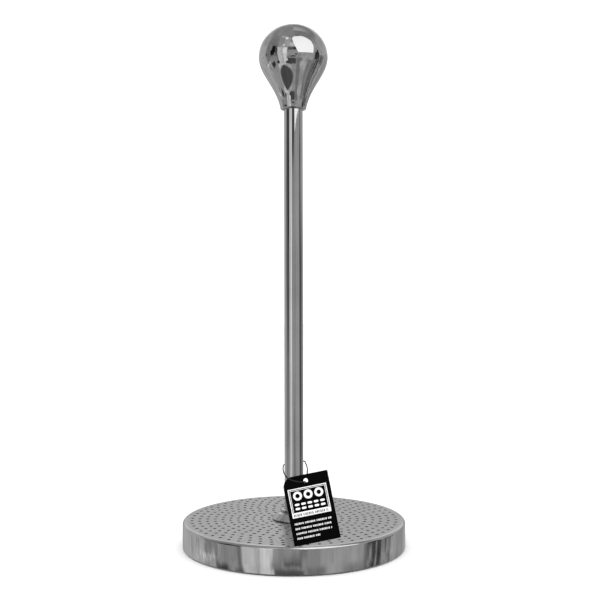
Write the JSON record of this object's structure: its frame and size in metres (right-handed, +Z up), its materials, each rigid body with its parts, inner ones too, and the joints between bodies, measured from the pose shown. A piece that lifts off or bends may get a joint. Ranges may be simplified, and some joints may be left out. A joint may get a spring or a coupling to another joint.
{
  "type": "paper towel holder",
  "caption": "Free-standing paper towel holder: weighted round base with a punched top, one upright tube, and a teardrop knob that screws off.",
  "frame": {"origin": "centre of the base, on the surface that the holder stands on", "axes": "+Z up along the tube; -Y is the front, the side that the swing tag hangs on"},
  "size_m": [0.1524, 0.1524, 0.3578],
  "materials": {
    "polished_steel": "mirror polished stainless steel",
    "cover_steel": "stainless steel, mirror polished wall and satin top",
    "zinc_steel": "zinc plated steel",
    "cast_iron": "black painted casting",
    "brass": "turned brass",
    "rubber": "matt",
    "nylon": "natural nylon",
    "card": "black coated card with white print",
    "string": "dark twisted cord"
  },
  "bodies": {
    "stand": {"non_slip_ring": "rubber", "bottom_plate": "zinc_steel", "plate_screw_1": "zinc_steel", "plate_screw_2": "zinc_steel", "plate_screw_3": "zinc_steel", "plate_screw_4": "zinc_steel", "base_weight": "cast_iron", "base_cover": "cover_steel", "clamp_bolt": "zinc_steel", "flat_washer": "zinc_steel", "lock_washer": "zinc_steel", "foot_gasket": "nylon", "foot_collar": "polished_steel", "rod_tube": "polished_steel", "rod_foot_plug": "zinc_steel", "rod_top_plug": "zinc_steel", "knob_stud": "zinc_steel"},
    "washer": {"knob_washer": "nylon"},
    "knob": {"knob_shell": "polished_steel", "knob_bush": "brass"},
    "tag": {"tag_card": "card", "tag_string": "string", "tag_knot": "string"}
  },
  "joints": [
    {"name": "knob_lift", "type": "slide", "parent": "stand", "child": "washer", "axis": [0, 0, 1], "range_m": [0, 0.01]},
    {"name": "knob_turn", "type": "hinge", "parent": "washer", "child": "knob", "pos_m": [0, 0, 0.3115], "axis": [0, 0, 1], "range_deg": [0, 3600]},
    {"name": "tag_swing", "type": "hinge", "parent": "stand", "child": "tag", "pos_m": [0, 0, 0.055], "axis": [0, 0, 1], "continuous": true}
  ],
  "couplings": [
    {"joint": "knob_lift", "follows": "knob_turn", "m_per_rad": 0.00015915}
  ]
}
